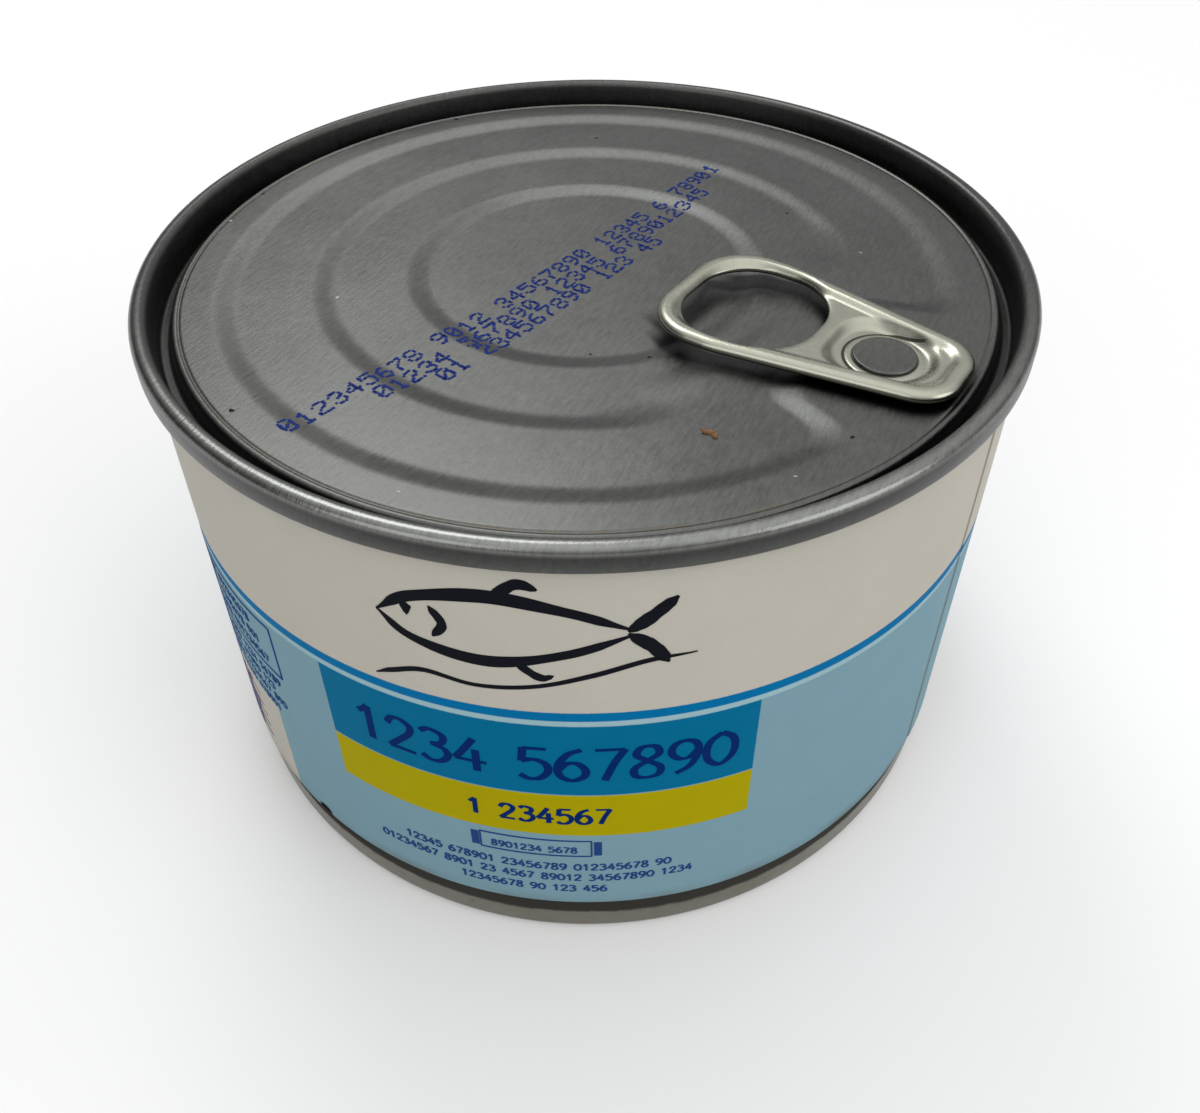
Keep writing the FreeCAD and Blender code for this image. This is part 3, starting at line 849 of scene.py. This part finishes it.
def smallPrint(left, right, z, height, seed):
    # one line of small numbers in groups of uneven length, as many as fit
    random = np.random.default_rng(seed)
    pitch = height * 0.74
    room, words = int((right - left) / pitch), []
    while room > 0:
        words.append(min(int(random.integers(2, 10)), room))
        room -= words[-1] + 1
    return numbers(words, left, z, height, height * 0.1, pitch, 5, int(random.integers(0, 10)))


def bar(left, right, z, half):
    # a level line, in pieces short enough to follow the can's curve
    arcs = np.linspace(left, right, int((right - left) / 1.2) + 2)
    return np.stack([arcs, np.full_like(arcs, z), np.full_like(arcs, half)], 1)


def frameLines(left, right, low, high, half):
    # four bars round a rectangle
    sides = [bar(left, right, low, half), bar(left, right, high, half)]
    for x in (left, right):
        sides.append(np.array([(x, low, half), (x, (low + high) / 2, half), (x, high, half)]))
    return sides


inks = {
    "inkBlack": tone(18, 20, 26), "inkNavy": tone(0, 34, 92),
    "inkBlue": tone(30, 62, 116), "inkMauve": tone(100, 94, 124),
}
printPlan = {
    "fish": (-6.5, 53.2, 27.0, 0.62, 1),                        # middle, height, length, brush width, seed
    "swell": [(-21.5, 43.4, 0.25), (-19.5, 44.6, 0.34), (-16.0, 46.0, 0.3), (-11.0, 45.4, 0.26),
              (-5.5, 46.1, 0.3), (0.0, 47.9, 0.32), (5.0, 49.6, 0.28), (9.6, 50.0, 0.2)],
    "panel": ((4, 6), -25.6, 31.3, 5.3, 0.42, 3.78, 18),        # groups, left, foot, height, half width, pitch, detail
    "band": ((1, 6), -13.6, 23.4, 2.7, 0.27, 2.02, 14),
    "front": [(-22.0, 9.5, 14.1, 1.25, 1), (-25.5, 12.5, 11.9, 1.25, 2), (-15.5, 2.5, 9.6, 1.25, 3),
              (-11.4, -1.4, 17.6, 1.1, 4)],                     # left, right, foot, height, seed
    "plate": (-12.6, -0.4, 17.0, 20.0, 0.09), "plateMarks": (-13.2, 0.3), "box": (-60.0, -37.6, 31.0, 39.4, 0.12),
    "boxLines": [(-58.5, -41.0 + i, 36.8 - 2.4 * i, 1.25, 10 + i) for i in range(3)],
    "side": [(-60.0, -37.8 - 1.3 * (i % 2), 28.6 - 2.0 * i, 1.2, 20 + i) for i in range(4)],
    "table": [(-64.0, -48.5 - (i % 2), 19.2 - 2.1 * i, 1.15, 30 + i) for i in range(6)],
    "rules": [(-64.5, -47.4, 18.8 - 2.1 * i, 0.06) for i in range(5)],
}


def printLines(entries):
    return [line for entry in entries for line in smallPrint(*entry)]


def printLabel(plan):
    paints = {name: inkPaint(name, colour, 0.5) for name, colour in inks.items()}
    makePrint("printFish", drawnFish(*plan["fish"]) + [brush(plan["swell"], 90, 3)], paints["inkBlack"])
    makePrint("printPanel", numbers(*plan["panel"]), paints["inkNavy"])
    makePrint("printBand", numbers(*plan["band"]), paints["inkNavy"])
    words = printLines(plan["front"]) + frameLines(*plan["plate"])
    words += [np.array([(x, z, 0.42) for z in (17.2, 18.5, 19.8)]) for x in plan["plateMarks"]]
    words += frameLines(*plan["box"]) + printLines(plan["boxLines"]) + printLines(plan["side"])
    makePrint("printWords", words, paints["inkBlue"])
    makePrint("printTable", printLines(plan["table"]) + [bar(*rule) for rule in plan["rules"]], paints["inkMauve"])


def inkPaint(name, colour, rough):
    # offset ink: nearly even, with a little of the paper's fibre in it
    paint = Paint(name, Specular_IOR_Level=0.1, IOR=1.15)
    point, parts = paint.place()
    fibre = paint.noise(point, 2.2, 4, 0.65)
    return paint.finish(paint.shade(colour, 0.9 + fibre * 0.22), rough + fibre.swing(0.14))


digitDots = {
    "0": "01110 10001 10011 10101 11001 10001 01110", "1": "00100 01100 00100 00100 00100 00100 01110",
    "2": "01110 10001 00001 00110 01000 10000 11111", "3": "01110 10001 00001 00110 00001 10001 01110",
    "4": "00010 00110 01010 10010 11111 00010 00010", "5": "11111 10000 11110 00001 00001 10001 01110",
    "6": "00110 01000 10000 11110 10001 10001 01110", "7": "11111 00001 00010 00100 01000 01000 01000",
    "8": "01110 10001 10001 01110 10001 10001 01110", "9": "01110 10001 10001 01111 00001 00010 01100",
}
codeLook = {
    "turn": math.radians(50.6), "pitch": 2.04, "column": 0.33, "row": 0.32, "dot": 0.215, "ink": tone(30, 44, 98),
    "lines": [((-28.7, -32.6), (9, 4, 8, 5, 1, 5)), ((-20.4, -26.8), (5, 6, 5, 10)), ((-14.5, -23.4), (2, 9, 3, 2))],
}


def codeDots(look):
    # where each dot of the code lies: along the writing line, digit by digit, row by row
    along = np.array([math.cos(look["turn"]), math.sin(look["turn"])])
    up = np.array([-along[1], along[0]])
    random = np.random.default_rng(7)
    places = []
    for start, words in look["lines"]:
        column, digit = 0, 0
        for length in words:
            for _ in range(length):
                rows = digitDots[str(digit % 10)].split()
                marks = [(c, 6 - r) for r, row in enumerate(rows) for c, mark in enumerate(row) if mark == "1"]
                marks = np.array(marks, float) + random.normal(0, 0.1, (len(marks), 2))
                marks *= look["column"], look["row"]
                x = column * look["pitch"] + marks[:, 0]
                places.append(np.array(start) + x[:, None] * along + marks[:, 1][:, None] * up)
                column, digit = column + 1, digit + 1
            column += 1
    return np.concatenate(places)


def makeCode(look):
    # each dot is a flat eight sided disc that lies on the panel and follows its steps
    places = codeDots(look)
    random = np.random.default_rng(11)
    angles = wholeTurn(8)
    size = look["dot"] * random.uniform(0.82, 1.18, (len(places), 1))
    x = places[:, :1] + size * np.cos(angles)
    y = places[:, 1:] + size * np.sin(angles)
    z = panelTop + panelLift(x, y)
    points = np.concatenate([np.stack([x, y, z + lift], -1) for lift in (-0.03, 0.02)], 1)
    faces = []
    for first in range(0, 16 * len(places), 16):
        faces += gridFaces(2, 8, first=first).tolist()
        faces += [range(first, first + 8), range(first + 8, first + 16)]
    return makePiece("inkCode", points, faces, inkPaint("inkCode", look["ink"], 0.45), smooth=False)


specks = {
    "dark": [(-43.0, 17.8, 0.24), (-19.4, 42.0, 0.36), (1.8, 35.6, 0.22), (26.3, 12.2, 0.2), (6.6, -19.6, 0.22),
             (0.3, -18.4, 0.18), (-35.0, -29.2, 0.34), (24.9, -34.8, 0.26), (32.4, -38.6, 0.2)],
    "pale": [(-28.8, -7.0, 0.26), (18.6, -40.2, 0.16), (33.4, 0.8, 0.16), (-45.3, 10.3, 0.2), (-17.0, -41.4, 0.18)],
    "crumb": [(11.5, -33.2, 0.55), (12.0, -33.7, 0.45), (11.0, -32.8, 0.28)],
}


def lumps(places, flat, seed):
    # small uneven lumps: a ball with a few waves round it, pressed flat onto the panel
    random = np.random.default_rng(seed)
    turn = wholeTurn(12)[None, :]
    rise = np.linspace(-math.pi / 2, math.pi / 2, 8)[:, None]
    points, faces, first = [], [], 0
    for x, y, size in places:
        one, two = random.uniform(0, 6, 2)
        radius = size * (1 + 0.28 * np.sin(2 * turn + one) * np.cos(rise) + 0.2 * np.sin(3 * turn + two) * np.cos(rise))
        px = x + radius * np.cos(rise) * np.cos(turn)
        py = y + radius * np.cos(rise) * np.sin(turn) * random.uniform(0.55, 0.9)
        pz = panelTop + float(panelLift(np.array(x), np.array(y))) + radius * flat * np.sin(rise)
        points.append(np.stack([px, py, np.broadcast_to(pz, px.shape)], -1).reshape(-1, 3))
        faces.append(gridFaces(8, 12, first=first))
        first += 96
    return np.concatenate(points), np.concatenate(faces)


def makeDirt():
    for name, flat, colour, seed in (("dark", 0.35, tone(40, 36, 32), 3), ("pale", 0.4, tone(168, 164, 152), 5),
                                     ("crumb", 0.6, tone(112, 84, 62), 8)):
        points, faces = lumps(specks[name], flat, seed)
        makePiece(name + "Specks", points, faces, inkPaint(name + "Speck", colour, 0.7))


studio = {
    "worldLow": 0.2, "worldHigh": 1.8, "worldFrom": 0.15, "worldLeft": 0.15, "leftStart": -0.95, "leftStop": -0.2,
    "haze": 0.95, "hazeFoot": 0.03, "hazeTop": 0.24, "floor": tone(206, 206, 206), "floorGlow": 0.12, "floorSize": 30.0,
}
lamps = [   # place, size, strength in watts
    ((-0.2, 0.54, 0.75), 0.42, 2.0),
    ((0.75, -0.45, 0.5), 0.7, 2.6),
    ((-0.6, -0.65, 0.55), 0.7, 2.0),
]
cameraLook = {
    "focal": 31.66, "place": (0.0, -0.111244, 0.126311), "yaw": 0.014, "pitch": 0.651, "roll": -0.007,
    "sensor": 36.0, "shiftY": -0.1346, "nearest": 0.01,
}


def makeCamera(look):
    # rolled about its own axis, raised from straight down to its pitch below level, then turned by its yaw
    data = bpy.data.cameras.new("camera")
    data.sensor_width, data.lens, data.shift_y = look["sensor"], look["focal"], look["shiftY"]
    data.clip_start = look["nearest"]
    camera = addObject("camera", data)
    turn = Matrix.Rotation(-look["yaw"], 4, "Z") @ Matrix.Rotation(math.pi / 2 - look["pitch"], 4, "X")
    camera.matrix_world = Matrix.Translation(look["place"]) @ turn @ Matrix.Rotation(look["roll"], 4, "Z")
    bpy.context.scene.camera = camera


def skyStrength(sky, look):
    # white haze at the horizon, dim above it and brightest overhead, dimmer to the left
    x, y, z = sky.split(sky.node("TexCoord", {}, {}, "Generated"))
    soft = {"interpolation_type": "SMOOTHSTEP"}
    height = {"Value": z, "From Min": look["worldFrom"], "To Min": look["worldLow"], "To Max": look["worldHigh"]}
    side = {"Value": x, "From Min": look["leftStart"], "From Max": look["leftStop"], "To Min": look["worldLeft"]}
    haze = {"Value": z, "From Min": look["hazeFoot"], "From Max": look["hazeTop"], "To Min": look["haze"], "To Max": 0}
    height, side = sky.node("MapRange", {}, height), sky.node("MapRange", soft, side)
    return (height * side).most(sky.node("MapRange", soft, haze))


def makeLamps():
    for i, (place, size, strength) in enumerate(lamps):
        data = bpy.data.lights.new("lamp%d" % i, "AREA")
        data.shape, data.size, data.energy = "DISK", size, strength
        lamp = addObject("lamp%d" % i, data)
        towards = Vector((0, 0, 0.04)) - Vector(place)
        lamp.matrix_world = Matrix.Translation(place) @ towards.to_track_quat("-Z", "Y").to_matrix().to_4x4()


def makeFloor(look):
    # a pale floor that glows a little where the camera sees it, but lights nothing
    size = look["floorSize"]
    mesh = bpy.data.meshes.new("floor")
    mesh.from_pydata([(-size, -size, 0), (size, -size, 0), (size, size, 0), (-size, size, 0)], [], [(0, 1, 2, 3)])
    paint = Paint("floorPaint", Roughness=0.9)
    rays = ("Is Camera Ray", "Is Glossy Ray", "Is Transmission Ray")
    seen = [paint.node("LightPath", {}, {}, ray) for ray in rays]
    seen = seen[0].most(seen[1]).most(seen[2])
    paint.plug(paint.shader.inputs["Emission Color"], paint.shade((1.0, 1.0, 1.0), seen))
    paint.plug(paint.shader.inputs["Emission Strength"], look["floorGlow"])
    mesh.materials.append(paint.finish(look["floor"]))
    floor = addObject("floor", mesh)


def makeStudio(look):
    scene = bpy.context.scene
    scene.world = bpy.data.worlds.new("studio")
    scene.world.use_nodes = True
    sky = NodeTree(scene.world.node_tree)
    background = sky.tree.nodes["Background"]
    background.inputs["Color"].default_value = (1, 1, 1, 1)
    sky.plug(background.inputs["Strength"], skyStrength(sky, look))
    makeLamps()
    makeFloor(look)
    scene.view_settings.view_transform = "Standard"


makeCamera(cameraLook)
makeStudio(studio)
print("camera and studio")
lidMetal = lidPaint(lidLook)
makeLid(lidMetal)
makeRivet(lidMetal)
print("lid")
makeTab(tabPaint(tabLook))
print("tab")
makeBody(bodyPaint(bodyLook))
print("body")
makeLabel(labelPaint(labelLook))
printLabel(printPlan)
print("label")
makeCode(codeLook)
makeDirt()
print("code and dirt")

bpy.context.view_layer.update()
